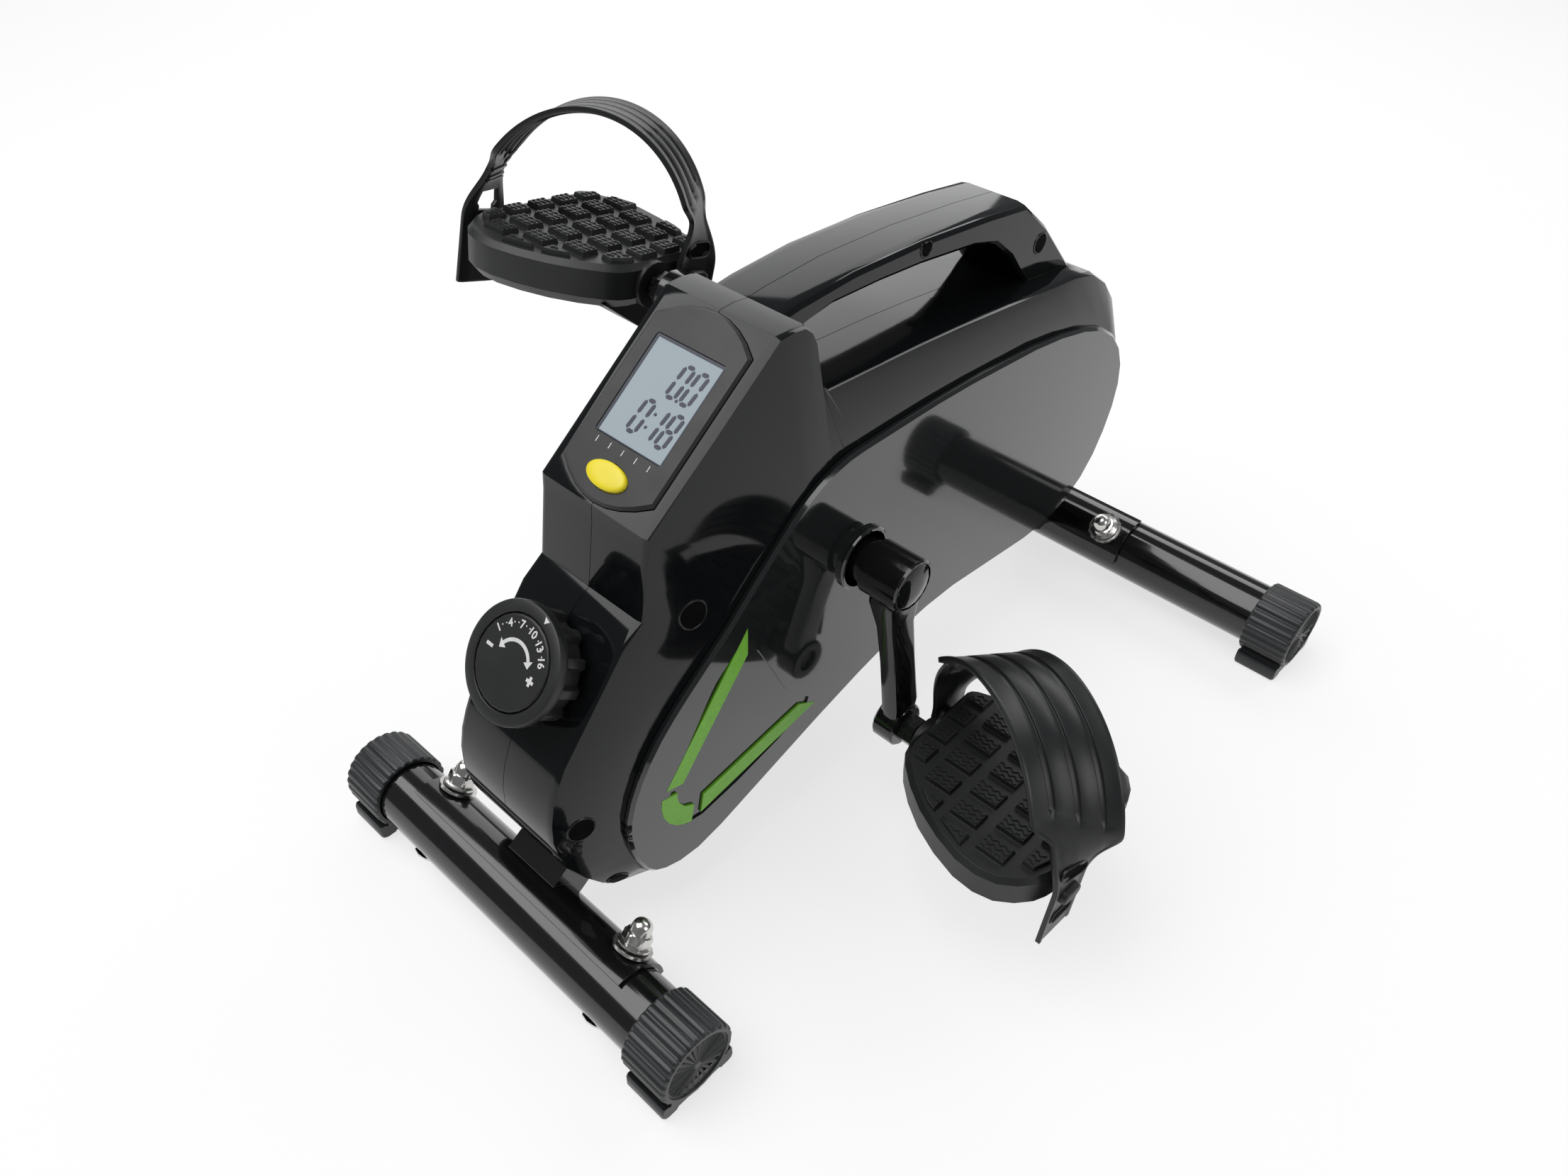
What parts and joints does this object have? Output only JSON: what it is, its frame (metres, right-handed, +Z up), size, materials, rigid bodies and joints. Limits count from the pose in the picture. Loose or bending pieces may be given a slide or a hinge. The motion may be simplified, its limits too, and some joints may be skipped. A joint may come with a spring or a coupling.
{
  "type": "pedal exerciser",
  "caption": "Floor-standing pedal exerciser with stabiliser bars, a moulded housing with a carry handle, strapped pedals on cranks, a resistance dial and a sloping display.",
  "frame": {"origin": "on the floor under the middle of the overall box", "axes": "+Z up, dial and display face -Y, crank axis along X"},
  "size_m": [0.4184, 0.499, 0.3265],
  "materials": {
    "shell_black": "high gloss",
    "cover_grey": "mirror gloss",
    "tube_black": "gloss paint",
    "cap_black": "satin, ribbed",
    "pedal_black": "matt",
    "strap_black": "satin, flexible",
    "zinc": "bright zinc",
    "steel": "turned",
    "bezel_grey": "satin",
    "lcd_grey": "clear window over a grey display",
    "button_yellow": "satin",
    "board_green": "coated board",
    "belt_rubber": "matt",
    "magnet_grey": "sintered"
  },
  "bodies": {
    "base": {"front_tube": "tube_black", "front_cap_right": "cap_black", "front_bolt_right": "zinc", "front_washer_right": "zinc", "front_nut_right": "zinc", "front_cap_left": "cap_black", "front_bolt_left": "zinc", "front_washer_left": "zinc", "front_nut_left": "zinc", "rear_tube": "tube_black", "rear_cap_right": "cap_black", "rear_bolt_right": "zinc", "rear_washer_right": "zinc", "rear_nut_right": "zinc", "rear_cap_left": "cap_black", "rear_bolt_left": "zinc", "rear_washer_left": "zinc", "rear_nut_left": "zinc", "main_frame": "tube_black", "housing_right": "shell_black", "housing_left": "shell_black", "side_cover_right": "cover_grey", "side_cover_left": "cover_grey", "console_case": "bezel_grey", "console_lens": "lcd_grey", "console_board": "board_green", "dial_scale": "pedal_black", "crank_bearing_right": "steel", "crank_bearing_left": "steel", "flywheel_axle": "steel", "drive_belt": "belt_rubber", "tension_cable": "belt_rubber", "speed_sensor": "pedal_black"},
    "crank": {"crank_spindle": "steel", "crank_arm_right": "tube_black", "crank_arm_left": "tube_black", "crank_nut_right": "zinc", "crank_nut_left": "zinc", "dust_cap_right": "shell_black", "dust_cap_left": "shell_black", "drive_pulley": "pedal_black", "sensor_magnet": "magnet_grey", "pedal_axle_right": "zinc", "pedal_axle_left": "zinc"},
    "pedal_right": {"pedal_body_right": "pedal_black", "pedal_strap_right": "strap_black"},
    "pedal_left": {"pedal_body_left": "pedal_black", "pedal_strap_left": "strap_black"},
    "flywheel_body": {"flywheel": "steel", "flywheel_pulley": "steel"},
    "brake_body": {"brake_arm": "steel", "brake_magnet": "magnet_grey"},
    "knob_body": {"dial_knob": "pedal_black"},
    "button_body": {"console_button": "button_yellow"}
  },
  "joints": [
    {"name": "crank_spin", "type": "hinge", "parent": "base", "child": "crank", "pos_m": [0, -0.028, 0.159], "axis": [1, 0, 0], "continuous": true},
    {"name": "pedal_right_spin", "type": "hinge", "parent": "crank", "child": "pedal_right", "pos_m": [0.152, -0.03271, 0.06912], "axis": [1, 0, 0], "continuous": true},
    {"name": "pedal_left_spin", "type": "hinge", "parent": "crank", "child": "pedal_left", "pos_m": [-0.152, -0.02329, 0.24888], "axis": [1, 0, 0], "continuous": true},
    {"name": "flywheel_spin", "type": "hinge", "parent": "base", "child": "flywheel_body", "pos_m": [0, 0.1235, 0.1415], "axis": [1, 0, 0], "continuous": true},
    {"name": "dial_turn", "type": "hinge", "parent": "base", "child": "knob_body", "pos_m": [0, -0.2051, 0.1815], "axis": [0, -0.7547, 0.6561], "range_deg": [-60, 90]},
    {"name": "brake_swing", "type": "hinge", "parent": "base", "child": "brake_body", "pos_m": [-0.032, 0.0355, 0.2005], "axis": [1, 0, 0], "range_deg": [-1.8, 1.2]},
    {"name": "button_press", "type": "slide", "parent": "base", "child": "button_body", "axis": [0, 0.5962, -0.8028], "range_m": [0, 0.0015], "stiffness_N_per_m": 400}
  ],
  "couplings": [
    {"joint": "flywheel_spin", "follows": "crank_spin", "ratio": 5.5385},
    {"joint": "brake_swing", "follows": "dial_turn", "ratio": -0.02}
  ]
}
